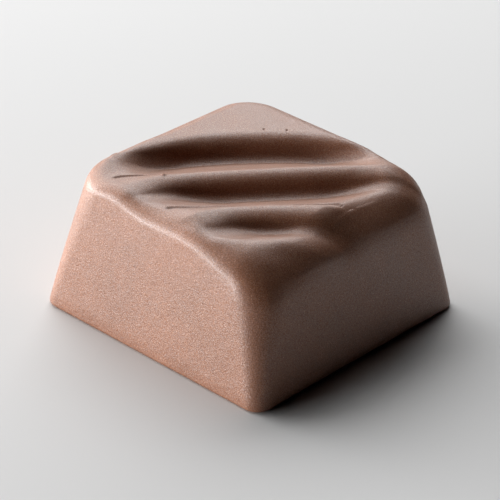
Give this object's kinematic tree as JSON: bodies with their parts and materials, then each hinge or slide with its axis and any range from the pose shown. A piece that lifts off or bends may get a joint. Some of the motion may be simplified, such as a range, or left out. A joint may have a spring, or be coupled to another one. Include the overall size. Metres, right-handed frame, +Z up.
{
  "type": "ganache chocolate",
  "caption": "Square moulded milk chocolate praline with sloping sides, soft corners and rolling waves cut diagonally across its top.",
  "frame": {"origin": "middle of the flat base", "axes": "+Z up from the base; the base's sides run along X and Y; the corner between +X and -Y is the low rolled corner, and the flat triangle of the top is at the -X +Y corner"},
  "size_m": [0.028, 0.028, 0.0144],
  "materials": {
    "chocolate": "satin milk chocolate with a fine pale grain"
  },
  "bodies": {
    "root": {"chocolate": "chocolate"}
  },
  "joints": []
}
